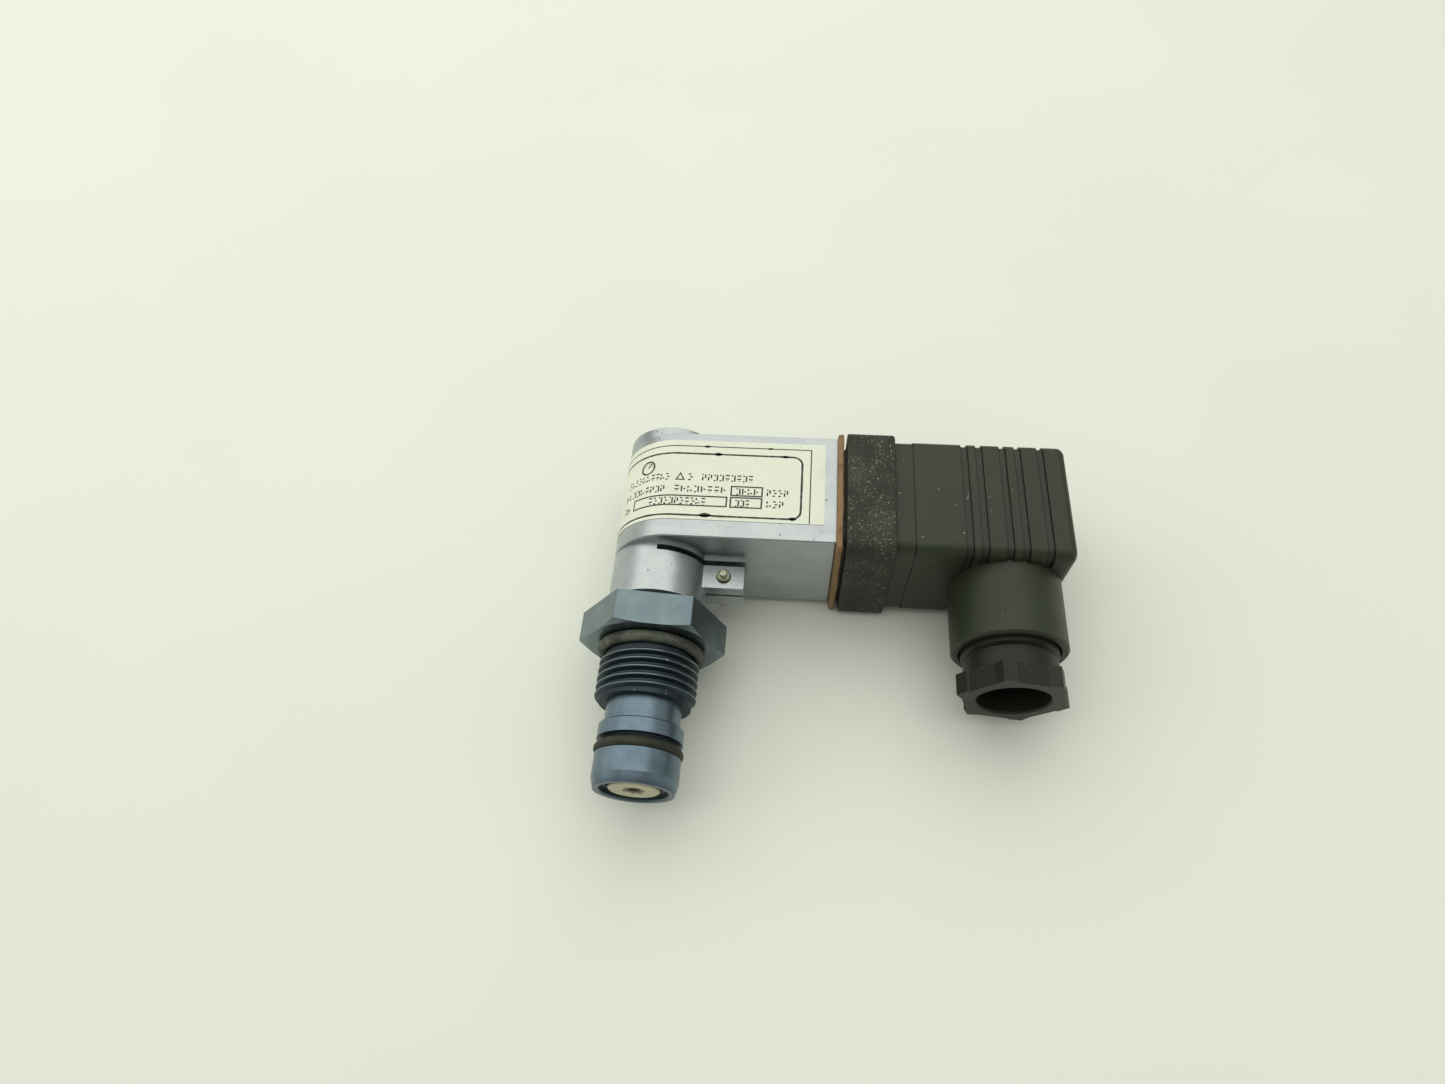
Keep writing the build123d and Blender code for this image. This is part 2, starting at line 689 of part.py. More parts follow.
def make_terminal_insert():
    """Moulded block that carries the plug's four sockets."""
    with BuildPart() as terminal_insert:
        with BuildSketch(Plane.YZ.offset(INSERT[0])):
            with Locations((PLUG_Y, 0)):
                RectangleRounded(2 * INSERT_HALF, 2 * INSERT_HALF, 1.4)
                Circle(1.9, mode=Mode.SUBTRACT)
        extrude(amount=INSERT[1] - INSERT[0])
        for y, z, flat in blade_places():
            with BuildSketch(Plane.YZ.offset(INSERT[0])):
                oblong(y, z, 7.4, 2.8, flat)
            extrude(amount=SOCKET_BACK - INSERT[0], mode=Mode.SUBTRACT)
            with BuildSketch(Plane.YZ.offset(SOCKET_BACK)):
                oblong(y, z, 5.4, 4.5, flat)
            extrude(amount=INSERT[1] - SOCKET_BACK, mode=Mode.SUBTRACT)
    save(terminal_insert.part, "terminal_insert")


def make_plug_sockets():
    """Four sprung sockets that grip the blades, each with a block for its terminal screw."""
    with BuildPart() as plug_sockets:
        for y, z, flat in blade_places():
            with BuildSketch(Plane.YZ.offset(SOCKET_MOUTH)):
                oblong(y, z, 7.2, 2.6, flat)
            extrude(amount=SOCKET_BACK - SOCKET_MOUTH)
            with BuildSketch(Plane.YZ.offset(SOCKET_BACK)):
                oblong(y, z, 5.2, 4.3, flat)
            extrude(amount=4.5)
            with BuildSketch(Plane.YZ.offset(SOCKET_MOUTH)):
                oblong(y, z, 6.5, 1.0, flat)
            extrude(amount=10.5, mode=Mode.SUBTRACT)
            with BuildSketch(Plane.YZ.offset(SOCKET_BACK + 0.5)):
                with Locations((PLUG_Y + y, z)):
                    Circle(1.15)
            extrude(amount=4.0, mode=Mode.SUBTRACT)
    save(plug_sockets.part, "plug_sockets")


def make_terminal_screws():
    """Four screws that clamp the cable's wires."""
    with BuildPart() as terminal_screws:
        for y, z, flat in blade_places():
            with BuildSketch(Plane.YZ.offset(INSERT[1] - 5.0)):
                with Locations((PLUG_Y + y, z)):
                    Circle(1.1)
            extrude(amount=5.0)
            with BuildSketch(Plane.YZ.offset(INSERT[1])):
                with Locations((PLUG_Y + y, z)):
                    Circle(2.0)
            extrude(amount=1.5)
            with BuildSketch(Plane.YZ.offset(INSERT[1] + 1.5)):
                with Locations((PLUG_Y + y, z)):
                    Rectangle(5, 0.6)
            extrude(amount=-0.8, mode=Mode.SUBTRACT)
    save(terminal_screws.part, "terminal_screws")


def make_centre_screw():
    """Long screw that holds the plug to its base."""
    with BuildPart() as centre_screw:
        with BuildSketch(Plane.YZ.offset(CENTRE_SCREW_TIP)):
            with Locations((PLUG_Y, 0)):
                Circle(CENTRE_SCREW_R)
        extrude(amount=HEAD_FACE - CENTRE_SCREW_TIP)
        chamfer(centre_screw.faces().sort_by(Axis.X)[0].edges(), 0.3)
        with BuildSketch(Plane.YZ.offset(HEAD_FACE)):
            with Locations((PLUG_Y, 0)):
                Circle(2.9)
        extrude(amount=2.1)
        fillet(centre_screw.faces().sort_by(Axis.X)[-1].edges(), 0.4)
        with BuildSketch(Plane.YZ.offset(HEAD_FACE + 2.1)):
            with Locations((PLUG_Y, 0)):
                Rectangle(6.5, 0.8)
        extrude(amount=-1.1, mode=Mode.SUBTRACT)
    save(centre_screw.part, "centre_screw")


def make_screw_seal():
    """Rubber washer under the middle screw's head."""
    with BuildPart() as screw_seal:
        with BuildSketch(Plane.YZ.offset(SEAL_FACE)):
            with Locations((PLUG_Y, 0)):
                Circle(3.6)
                Circle(CENTRE_SCREW_R + 0.15, mode=Mode.SUBTRACT)
        extrude(amount=HEAD_FACE - SEAL_FACE - 0.05)
    save(screw_seal.part, "screw_seal")


def nut_corner(angle, radius):
    """Point of the gland nut's outline."""
    return (GLAND_X + radius * cos(radians(angle)), radius * sin(radians(angle)))


def make_gland_nut():
    """Compression nut of the cable gland, its hex stepped at each corner."""
    outline = []
    for corner in range(6):
        angle = NUT_TURN - 60 * corner
        outline.append(nut_corner(angle, NUT_CORNER_R))
        outline.append(nut_corner(angle - 14, NUT_STEP_R))
        outline.append(nut_corner(angle - 15, NUT_FLAT_R))
        outline.append(nut_corner(angle - 50, NUT_FLAT_R))
    with BuildPart() as gland_nut:
        with BuildSketch(section(NUT_HEAD_END)):
            with BuildLine():
                Polyline(*outline, close=True)
            make_face()
        extrude(amount=NUT_HEAD_END - NUT_FACE)
        with BuildSketch(Plane.XY):
            with BuildLine():
                Polyline(
                    (GLAND_X, NUT_HEAD_END),
                    (GLAND_X + 10.1, NUT_HEAD_END),
                    (GLAND_X + 10.1, 0.9),
                    (GLAND_X + 9.5, 1.2),
                    (GLAND_X + 9.5, 2.0),
                    (GLAND_X + NUT_THREAD_R, 2.6),
                    (GLAND_X + NUT_THREAD_R, NUT_TIP - 0.5),
                    (GLAND_X + NUT_THREAD_R - 0.4, NUT_TIP),
                    (GLAND_X, NUT_TIP),
                    close=True,
                )
            make_face()
        revolve(axis=Axis((GLAND_X, 0, 0), (0, 1, 0)))
        with BuildSketch(Plane.XY):
            with BuildLine():
                Polyline(
                    (GLAND_X, NUT_FACE),
                    (GLAND_X + NUT_BORE_R + 0.4, NUT_FACE),
                    (GLAND_X + NUT_BORE_R, NUT_FACE + 0.4),
                    (GLAND_X + NUT_BORE_R, NUT_TIP + 0.1),
                    (GLAND_X, NUT_TIP + 0.1),
                    close=True,
                )
            make_face()
        revolve(axis=Axis((GLAND_X, 0, 0), (0, 1, 0)), mode=Mode.SUBTRACT)
    save(gland_nut.part, "gland_nut")


def make_gland_inner(name, outer_r, inner_r, y_from, y_to, edge):
    """Ring inside the cable gland."""
    with BuildPart() as ring:
        with BuildSketch(section(y_to)):
            with Locations((GLAND_X, 0)):
                Circle(outer_r)
                Circle(inner_r, mode=Mode.SUBTRACT)
        extrude(amount=y_to - y_from)
        rims = ring.edges().filter_by(GeomType.CIRCLE).sort_by(SortBy.RADIUS)[-2:]
        chamfer(rims, edge)
    save(ring.part, name)


make_cartridge_body()
make_ring("port_o_ring", SEAT_R + 1.24, 1.22, -1.3)
make_ring("nose_o_ring", RING_GROOVE_R + 1.13, 1.12, RING_GROOVE[0] + 1.13)
make_retaining_ring()
make_inlet_disc()
make_piston()
make_ring("piston_seal", 5.52, 0.66, -24.8)
make_return_spring()
make_turned("spring_guide", STEM_ROD_R + 0.08, BORE_R - 0.03, *GUIDE)
make_turned("magnet", PIN_R + 0.01, MAGNET_R, *MAGNET)
make_turned("magnet_clip", PIN_R + 0.01, 3.3, MAGNET[1], MAGNET[1] + 0.6, 0.1)
make_indicator_housing()
make_clamp_screw()
make_label()
make_switch_capsule()
make_switch_leads()
make_flange_gasket()
make_connector_base()
make_base_screws()
make_blades("contact_blades", blade_places()[:3])
make_blades("earth_blade", blade_places()[3:])
make_socket_boot()
make_plug_housing()
make_terminal_insert()
make_plug_sockets()
make_terminal_screws()
make_centre_screw()
make_screw_seal()
make_gland_nut()
make_gland_inner("gland_washer", 10.3, 5.6, 9.0, 10.2, 0.15)
make_gland_inner("gland_grommet", GROMMET_R, CABLE_R, *GROMMET, 0.8)
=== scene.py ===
import math
import random

import bmesh
import bpy
from mathutils import Matrix, Vector


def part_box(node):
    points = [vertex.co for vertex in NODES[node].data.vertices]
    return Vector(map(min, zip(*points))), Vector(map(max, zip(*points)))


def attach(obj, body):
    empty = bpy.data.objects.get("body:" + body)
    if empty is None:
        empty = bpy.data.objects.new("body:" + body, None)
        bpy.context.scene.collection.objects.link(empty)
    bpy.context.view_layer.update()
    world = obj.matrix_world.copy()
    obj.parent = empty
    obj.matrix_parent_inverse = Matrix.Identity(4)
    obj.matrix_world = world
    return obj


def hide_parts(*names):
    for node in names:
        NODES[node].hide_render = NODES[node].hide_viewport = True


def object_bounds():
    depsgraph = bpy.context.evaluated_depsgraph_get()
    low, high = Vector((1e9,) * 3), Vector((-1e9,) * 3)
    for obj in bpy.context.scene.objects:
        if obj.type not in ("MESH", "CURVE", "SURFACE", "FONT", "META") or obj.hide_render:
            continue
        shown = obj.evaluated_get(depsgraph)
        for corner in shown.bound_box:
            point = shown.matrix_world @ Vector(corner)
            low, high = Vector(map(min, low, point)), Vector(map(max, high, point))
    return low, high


# Looks of a screw-in differential pressure indicator with its cable plug. Metres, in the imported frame:
# Y runs along the cartridge away from the port, X towards the cable plug, Z out of the label.

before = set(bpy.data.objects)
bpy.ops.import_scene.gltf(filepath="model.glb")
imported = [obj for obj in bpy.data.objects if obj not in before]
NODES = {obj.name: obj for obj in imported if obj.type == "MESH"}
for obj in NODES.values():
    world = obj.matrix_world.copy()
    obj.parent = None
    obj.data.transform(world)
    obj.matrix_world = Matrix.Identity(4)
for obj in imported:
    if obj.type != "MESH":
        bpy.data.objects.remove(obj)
cad_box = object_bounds()
MM = 0.001

# camera, at the photograph's viewing angle
CAMERA_AT = (29.25 * MM, -75.2 * MM, 179.2 * MM)
CAMERA_YAW = math.radians(-8.528)
CAMERA_PITCH = math.radians(59.596)
CAMERA_ROLL = math.radians(-4.651)
CAMERA_LENS = 21.6

# light: each lamp's name, place, size and power
LAMPS = (
    ("overhead", (-0.05, 0.34, 0.75), 1.4, 7.0),
    ("left_panel", (-0.9, 0.05, 0.38), 0.9, 2.0),
    ("right_panel", (0.9, 0.0, 0.42), 0.8, 0.7),
)
LAMP_TINT = (1.0, 1.0, 0.93)
WORLD_TINT = (0.97, 1.0, 0.90)
WORLD_STRENGTH = 0.36
FLOOR_TONES = ((0.835, 0.855, 0.785), (0.865, 0.885, 0.815))

# places read from the frame
LABEL_LOW, LABEL_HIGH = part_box("label")
LABEL_FACE = LABEL_HIGH.z
ROUND_X = LABEL_LOW.x + LABEL_FACE
CARTRIDGE_LOW, CARTRIDGE_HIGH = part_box("cartridge_body")
BOOT_LOW, BOOT_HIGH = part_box("socket_boot")
PLUG_Y = (BOOT_LOW.y + BOOT_HIGH.y) / 2
PLUG_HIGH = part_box("plug_housing")[1]
PLUG_SIDE_Y = 2 * PLUG_Y - PLUG_HIGH.y - 0.05 * MM
FLOOR_Z = cad_box[0].z

# stations and radii of the cartridge, from the hex's port-side face
THREAD_HIGH = -2.7 * MM
THREAD_LOW = -13.4 * MM
CREST_R = 11.05 * MM
GROOVE_LOW = -24.7 * MM
GROOVE_HIGH = -21.5 * MM
NOSE_R = 9.2 * MM

# both edges of each grip groove of the plug and the step near its boot, along X in millimetres, where
# lines of painted shade go
PLUG_CORNERS = (67.95, 69.55, 71.25, 72.85, 76.6, 78.1, 80.0, 81.5, 85.1, 86.6, 57.15)

# patches seen along Z: x, y and the reach along each, in millimetres
BOOT_DUST = ((49.2, 28.0, 4.5, 5.5), (44.2, 40.5, 3.5, 7.0))
PLUG_CRUMBS = ((58.3, 23.8, 1.3, 0.5), (72.4, 37.0, 0.9, 0.3), (68.9, 36.0, 0.5, 4.0))
LABEL_SMEARS = ((14.0, 26.9, 2.6, 0.58), (31.9, 36.6, 0.55, 2.2), (11.5, 27.0, 1.2, 0.27))

# colours of the plug's black plastic parts
PLUG_TONE = (0.0222, 0.0282, 0.0146)
NUT_TONE = (0.0108, 0.0140, 0.0078)


# ---------------------------------------------------------------- node graphs


class Surface:
    """One material and the node graph that makes it, in the frame's own coordinates."""

    def __init__(self, name, **sockets):
        self.material = bpy.data.materials.new(name)
        self.material.use_nodes = True
        self.tree = self.material.node_tree
        self.shader = self.tree.nodes["Principled BSDF"]
        for socket, value in sockets.items():
            self.shader.inputs[socket.replace("_", " ")].default_value = value
        self.place = self.add("ShaderNodeTexCoord").outputs["Object"]
        parts = self.add("ShaderNodeSeparateXYZ", {"Vector": self.place})
        self.x, self.y, self.z = parts.outputs

    def add(self, kind, inputs=None, **settings):
        """New node, with its settings and its inputs set or linked."""
        node = self.tree.nodes.new(kind)
        for key, value in settings.items():
            setattr(node, key, value)
        for key, value in (inputs or {}).items():
            self.feed(node.inputs[key], value)
        return node

    def feed(self, socket, value):
        if isinstance(value, bpy.types.NodeSocket):
            self.tree.links.new(value, socket)
        else:
            socket.default_value = value

    def calc(self, operation, a, b=0.0, c=0.0):
        return self.add("ShaderNodeMath", {0: a, 1: b, 2: c}, operation=operation).outputs[0]

    def times(self, a, b):
        return self.calc("MULTIPLY", a, b)

    def length(self, a, b):
        """Length of the vector with parts a and b."""
        return self.calc("SQRT", self.calc("MULTIPLY_ADD", a, a, self.times(b, b)))

    def spread(self, value, low, high):
        """0 where value is at low, rising smoothly to 1 at high, and held beyond."""
        inputs = {"Value": value, "From Min": low, "From Max": high, "To Min": 0.0, "To Max": 1.0}
        node = self.add("ShaderNodeMapRange", inputs, interpolation_type="SMOOTHSTEP")
        return node.outputs["Result"]

    def vector(self, x, y, z):
        return self.add("ShaderNodeCombineXYZ", {"X": x, "Y": y, "Z": z}).outputs[0]

    def noise(self, scale, vector=None, detail=3.0, roughness=0.5, distortion=0.0):
        inputs = {
            "Vector": vector or self.place,
            "Scale": scale,
            "Detail": detail,
            "Roughness": roughness,
            "Distortion": distortion,
        }
        return self.add("ShaderNodeTexNoise", inputs).outputs["Fac"]

    def specks(self, scale, size, rarity=6.0):
        """Ragged specks of uneven size, one at most in each cell: 1 on a speck, 0 off it."""
        cells = self.add("ShaderNodeTexVoronoi", {"Vector": self.place, "Scale": scale})
        chance = self.add("ShaderNodeSeparateColor", {"Color": cells.outputs["Color"]}).outputs[0]
        radius = self.times(self.calc("POWER", chance, rarity), size)
        inner = self.times(radius, 0.6)
        ragged = self.calc("MULTIPLY_ADD", self.noise(scale * 3), 0.9, 0.55)
        return self.spread(self.times(cells.outputs["Distance"], ragged), radius, inner)

    def spot(self, x, y, reach_x, reach_y):
        """1 at a place seen along Z, fading to 0 at the edge of an oval about it. Millimetres."""
        dx = self.calc("DIVIDE", self.calc("SUBTRACT", self.x, x * MM), reach_x * MM)
        dy = self.calc("DIVIDE", self.calc("SUBTRACT", self.y, y * MM), reach_y * MM)
        return self.spread(self.length(dx, dy), 1.0, 0.1)

    def turned(self):
        """Radius about the cartridge's axis, and coordinates that draw lathe marks round it."""
        radius = self.length(self.z, self.x)
        angle = self.calc("ARCTAN2", self.z, self.x)
        return radius, self.vector(radius, self.y, self.times(angle, 0.0004))

    def colour(self, value):
        if isinstance(value, bpy.types.NodeSocket):
            return value
        return (*value, 1.0)

    def blend(self, factor, a, b):
        """Colour a where factor is 0, b where it is 1."""
        inputs = {0: factor, 6: self.colour(a), 7: self.colour(b)}
        return self.add("ShaderNodeMix", inputs, data_type="RGBA").outputs[2]

    def mottle(self, noise, tones):
        """A colour that wanders between two tones as the noise does."""
        return self.blend(self.spread(noise, 0.3, 0.7), *tones)

    def cover(self, under, colour, mask, amount):
        """A colour laid over another where mask is 1, as fully as amount says."""
        return self.blend(self.times(mask, amount), under, colour)

    def paint(self, colour, roughness=None):
        self.feed(self.shader.inputs["Base Color"], colour)
        if roughness is not None:
            self.feed(self.shader.inputs["Roughness"], roughness)

    def relief(self, *layers):
        """Bump from (height, depth in metres) layers, one over the other."""
        normal = None
        for height, depth in layers:
            inputs = {"Height": height, "Distance": depth, "Strength": 1.0}
            if normal is not None:
                inputs["Normal"] = normal
            normal = self.add("ShaderNodeBump", inputs).outputs["Normal"]
        self.feed(self.shader.inputs["Normal"], normal)


def shade(tone, amount):
    """A tone made darker or lighter."""
    return tuple(amount * part for part in tone)


def use(surface, *names):
    """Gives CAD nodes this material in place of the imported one."""
    for name in names:
        mesh = NODES[name].data
        mesh.materials.clear()
        mesh.materials.append(surface.material)


def new_piece(name, bm, surface):
    """Object made from a finished bmesh, with its material."""
    bmesh.ops.recalc_face_normals(bm, faces=bm.faces[:])
    mesh = bpy.data.meshes.new(name)
    bm.to_mesh(mesh)
    bm.free()
    piece = bpy.data.objects.new(name, mesh)
    bpy.context.scene.collection.objects.link(piece)
    mesh.materials.append(surface.material)
    return piece


# ---------------------------------------------------------------- metals


def thread_shade(s, tone, radius):
    """Painted shade between the thread's crests, a little over the whole thread and nearly black down the
    flanks. Returns the tone, and masks of thread and flanks.
    """
    below_hex = s.spread(s.y, THREAD_HIGH + 0.3 * MM, THREAD_HIGH - 0.3 * MM)
    in_thread = s.times(s.spread(s.y, THREAD_LOW - 0.3 * MM, THREAD_LOW), below_hex)
    flank = s.spread(radius, CREST_R - 0.03 * MM, CREST_R - 0.16 * MM)
    # painted shade: a little over the whole thread, nearly black down the flanks
    flank_shade = s.calc("MULTIPLY_ADD", flank, 0.7, 0.15)
    return s.cover(tone, (0.022, 0.030, 0.040), in_thread, flank_shade), in_thread, flank


def hollow_shade(s, tone, radius):
    """Painted shade: a dark nose groove, and a dark stem where the collar's slit shows it."""
    # painted shade on the floor of the nose groove
    above = s.spread(s.y, GROOVE_LOW, GROOVE_LOW + 0.1 * MM)
    in_groove = s.times(above, s.spread(s.y, GROOVE_HIGH, GROOVE_HIGH - 0.1 * MM))
    sunk = s.spread(radius, NOSE_R - 0.05 * MM, NOSE_R - 0.3 * MM)
    tone = s.cover(tone, (0.02, 0.022, 0.02), in_groove, s.times(sunk, 0.85))
    # painted shade on the stem inside the collar's slit
    in_collar = s.spread(s.y, CARTRIDGE_HIGH.y - 15.0 * MM, CARTRIDGE_HIGH.y - 13.8 * MM)
    return s.cover(tone, (0.014, 0.012, 0.008), in_collar, 0.9)


def blue_anodised():
    """Dyed hard anodising over turned and milled aluminium."""
    s = Surface("blue_anodised", Metallic=1.0, Coat_Weight=0.1, Coat_Roughness=0.25)
    radius, rings = s.turned()
    lathe = s.noise(6500, rings, 4, 0.6)
    broad = s.noise(900, rings, 2)
    cloud = s.noise(160, detail=4)
    grime = s.noise(700, detail=6, roughness=0.7)
    # the hex has gone greyer than the nose
    hex_tone = s.mottle(cloud, ((0.130, 0.170, 0.190), (0.175, 0.222, 0.240)))
    nose_tone = s.mottle(cloud, ((0.110, 0.155, 0.200), (0.150, 0.205, 0.255)))
    tone = s.blend(s.spread(s.y, -2.0 * MM, -14.0 * MM), hex_tone, nose_tone)
    tone = s.cover(tone, (0.20, 0.265, 0.31), s.spread(lathe, 0.35, 0.7), 0.3)
    # painted shade between the thread's crests, in the nose groove and on the stem in the collar's slit
    tone, in_thread, flank = thread_shade(s, tone, radius)
    tone = hollow_shade(s, tone, radius)
    # painted shade: the nose's end is darker than its side
    end = s.spread(s.y, CARTRIDGE_LOW.y + 1.6 * MM, CARTRIDGE_LOW.y + 0.1 * MM)
    tone = s.cover(tone, (0.055, 0.075, 0.095), end, 0.6)
    tone = s.cover(tone, (0.11, 0.10, 0.075), s.spread(grime, 0.62, 0.75), 0.3)
    # bare spots rubbed through on the thread's crests
    crest = s.times(s.spread(radius, CREST_R - 0.1 * MM, CREST_R), in_thread)
    rubbed = s.spread(s.noise(420, detail=2), 0.70, 0.73)
    tone = s.cover(tone, (0.62, 0.58, 0.47), rubbed, crest)
    tone = s.cover(tone, (0.32, 0.31, 0.24), s.specks(1100, 0.25, 7.0), 0.6)
    rough = s.calc("MULTIPLY_ADD", lathe, 0.14, 0.27)
    rough = s.calc("MULTIPLY_ADD", s.spread(grime, 0.45, 0.75), 0.12, rough)
    rough = s.calc("MULTIPLY_ADD", s.times(in_thread, flank), 0.2, rough)
    s.paint(tone, rough)
    s.relief((lathe, 0.006 * MM), (broad, 0.01 * MM), (grime, 0.004 * MM))
    return s


def brushed_housing():
    """Clear anodising over brushed aluminium, with a faint violet cast."""
    s = Surface("brushed_housing", Metallic=1.0, Specular_IOR_Level=0.5)
    # the brush marks run along the block and round its end
    across = s.calc("SUBTRACT", s.x, ROUND_X)
    on_round = s.calc("LESS_THAN", across, 0.0)
    depth = s.add("ShaderNodeMix", {0: on_round, 2: s.z, 3: s.length(s.z, across)}).outputs[0]
    grain = s.vector(s.times(s.x, 0.02), s.y, depth)
    fine = s.noise(9000, grain, 4, 0.65)
    coarse = s.noise(1600, grain, 3, 0.6)
    cloud = s.noise(140, detail=3)
    stain = s.noise(420, detail=6, roughness=0.72)
    nicks = s.specks(800, 0.24, 7.0)
    tone = s.mottle(cloud, ((0.375, 0.40, 0.43), (0.435, 0.465, 0.475)))
    tone = s.cover(tone, (0.56, 0.585, 0.59), s.spread(fine, 0.3, 0.75), 0.4)
    tone = s.cover(tone, (0.33, 0.34, 0.40), s.spread(coarse, 0.5, 0.72), 0.22)
    tone = s.cover(tone, (0.30, 0.30, 0.27), s.spread(stain, 0.6, 0.74), 0.35)
    tone = s.cover(tone, (0.05, 0.05, 0.045), nicks, 0.85)
    rough = s.calc("MULTIPLY_ADD", fine, 0.16, 0.26)
    rough = s.calc("MULTIPLY_ADD", s.spread(stain, 0.45, 0.75), 0.14, rough)
    s.paint(tone, rough)
    s.relief((fine, 0.006 * MM), (coarse, 0.012 * MM), (s.times(nicks, -1.0), 0.03 * MM))
    return s


def plated(name, light, dark, rough=0.28, scale=2200):
    """Zinc-plated or ground steel, mottled and slightly tarnished."""
    s = Surface(name, Metallic=1.0)
    mottle = s.noise(scale, detail=5, roughness=0.65)
    tarnish = s.noise(scale * 0.25, detail=4, roughness=0.6)
    tone = s.mottle(mottle, (light, dark))
    tone = s.cover(tone, shade(dark, 0.55), s.spread(tarnish, 0.52, 0.72), 0.5)
    s.paint(tone, s.calc("MULTIPLY_ADD", mottle, 0.18, rough))
    s.relief((mottle, 0.008 * MM))
    return s


# ---------------------------------------------------------------- rubber and plastics


def rubber(name, tone, dust, dusting, specked=0.0, smears=()):
    """Moulded rubber with a dry bloom, dust that gathers in patches, and smears of dust."""
    s = Surface(name, Specular_IOR_Level=0.3)
    skin = s.noise(2600, detail=5, roughness=0.6)
    patch = s.noise(190, detail=5, roughness=0.62)
    colour = s.mottle(skin, (tone, shade(tone, 1.5)))
    colour = s.cover(colour, dust, s.spread(patch, 0.38, 0.72), dusting)
    gather = s.spread(patch, 0.38, 0.62)
    thin = s.times(s.spread(skin, 0.25, 0.7), 0.4)
    for place in smears:
        smear = s.spot(*place)
        colour = s.cover(colour, dust, smear, thin)
        gather = s.calc("MAXIMUM", gather, smear)
    if specked:
        fine = s.times(s.specks(3600, 0.43, 3.2), gather)
        grit = s.calc("MAXIMUM", fine, s.specks(1700, 0.26, 4.7))
        colour = s.cover(colour, (0.60, 0.61, 0.50), grit, specked)
    s.paint(colour, s.calc("MULTIPLY_ADD", skin, 0.2, 0.55))
    s.relief((skin, 0.02 * MM))
    return s


def moulded(name, tone, rough=0.42, specular=0.5, grain=1800, dusting=0.0, crumbs=(), corners=()):
    """Moulded plastic with a fine grain, faint flow marks, and painted shade in the corners of its
    grooves.
    """
    s = Surface(name, Specular_IOR_Level=specular)
    fine = s.noise(grain, detail=3, roughness=0.6)
    flow = s.noise(60, detail=3, distortion=1.2)
    scuff = s.noise(900, s.vector(s.times(s.x, 0.12), s.y, s.z), 4, 0.7)
    colour = s.mottle(flow, (tone, shade(tone, 1.25)))
    colour = s.cover(colour, shade(tone, 2.2), s.spread(scuff, 0.6, 0.75), 0.25)
    # painted shade: dark lines along the given corners, clear of the gland
    for x in corners:
        off = s.calc("ABSOLUTE", s.calc("SUBTRACT", s.x, x * MM))
        clear_of_gland = s.calc("GREATER_THAN", s.y, PLUG_SIDE_Y)
        line = s.times(s.spread(off, 0.17 * MM, 0.1 * MM), clear_of_gland)
        colour = s.cover(colour, shade(tone, 0.1), line, 0.9)
    if dusting:
        grit = s.times(s.specks(800, 0.16, 6.0), s.spread(s.noise(120, detail=4), 0.4, 0.6))
        for place in crumbs:
            heap = s.times(s.spot(*place), s.specks(2600, 0.5, 1.5))
            grit = s.calc("MAXIMUM", grit, heap)
        colour = s.cover(colour, (0.62, 0.62, 0.50), grit, dusting)
    s.paint(colour, s.calc("MULTIPLY_ADD", s.calc("ADD", fine, scuff), 0.09, rough - 0.09))
    s.relief((fine, 0.012 * MM), (flow, 0.05 * MM))
    return s


def disc_nylon():
    """Cream moulding, darker round its middle hole."""
    s = Surface("cream_nylon", Specular_IOR_Level=0.4)
    radius = s.turned()[0]
    fine = s.noise(1800, detail=3)
    soil = s.noise(600, detail=5, roughness=0.7)
    colour = s.mottle(fine, ((0.50, 0.475, 0.34), (0.58, 0.55, 0.40)))
    colour = s.cover(colour, (0.28, 0.25, 0.15), s.spread(soil, 0.48, 0.7), 0.35)
    edge = s.calc("MULTIPLY_ADD", soil, 2.6 * MM, 0.9 * MM)
    dark_round_hole = s.spread(s.calc("SUBTRACT", radius, edge), 0.25 * MM, -0.15 * MM)
    colour = s.cover(colour, (0.055, 0.048, 0.032), dark_round_hole, 0.85)
    s.paint(colour, s.calc("MULTIPLY_ADD", fine, 0.12, 0.45))
    s.relief((fine, 0.012 * MM), (soil, 0.02 * MM))
    return s


def gasket_sheet():
    """Brown compressed sheet with a fibrous cut edge."""
    s = Surface("gasket_sheet", Specular_IOR_Level=0.3)
    fibre = s.noise(1500, s.vector(s.times(s.x, 3.0), s.y, s.z), 5, 0.7)
    patch = s.noise(260, detail=4)
    colour = s.mottle(fibre, ((0.20, 0.12, 0.06), (0.35, 0.22, 0.118)))
    colour = s.cover(colour, (0.14, 0.075, 0.045), s.spread(patch, 0.5, 0.7), 0.5)
    s.paint(colour, s.calc("MULTIPLY_ADD", fibre, 0.2, 0.65))
    s.relief((fibre, 0.06 * MM))
    return s


def label_film():
    """Cream printed film, a little soiled, with brown smears beside the printing."""
    s = Surface("label_film", Specular_IOR_Level=0.4)
    paper = s.noise(1800, detail=4)
    soil = s.noise(90, detail=5, roughness=0.65)
    smudge = s.noise(900, detail=4, roughness=0.7)
    colour = s.mottle(paper, ((0.79, 0.81, 0.69), (0.83, 0.85, 0.73)))
    colour = s.cover(colour, (0.66, 0.65, 0.50), s.spread(soil, 0.5, 0.75), 0.25)
    for place in LABEL_SMEARS:
        smear = s.times(s.spot(*place), s.spread(smudge, 0.3, 0.62))
        colour = s.cover(colour, (0.32, 0.25, 0.15), smear, 0.75)
    colour = s.cover(colour, (0.2, 0.19, 0.15), s.specks(800, 0.2, 8.0), 0.5)
    s.paint(colour, s.calc("MULTIPLY_ADD", paper, 0.1, 0.36))
    s.relief((paper, 0.003 * MM), (soil, 0.01 * MM))
    return s


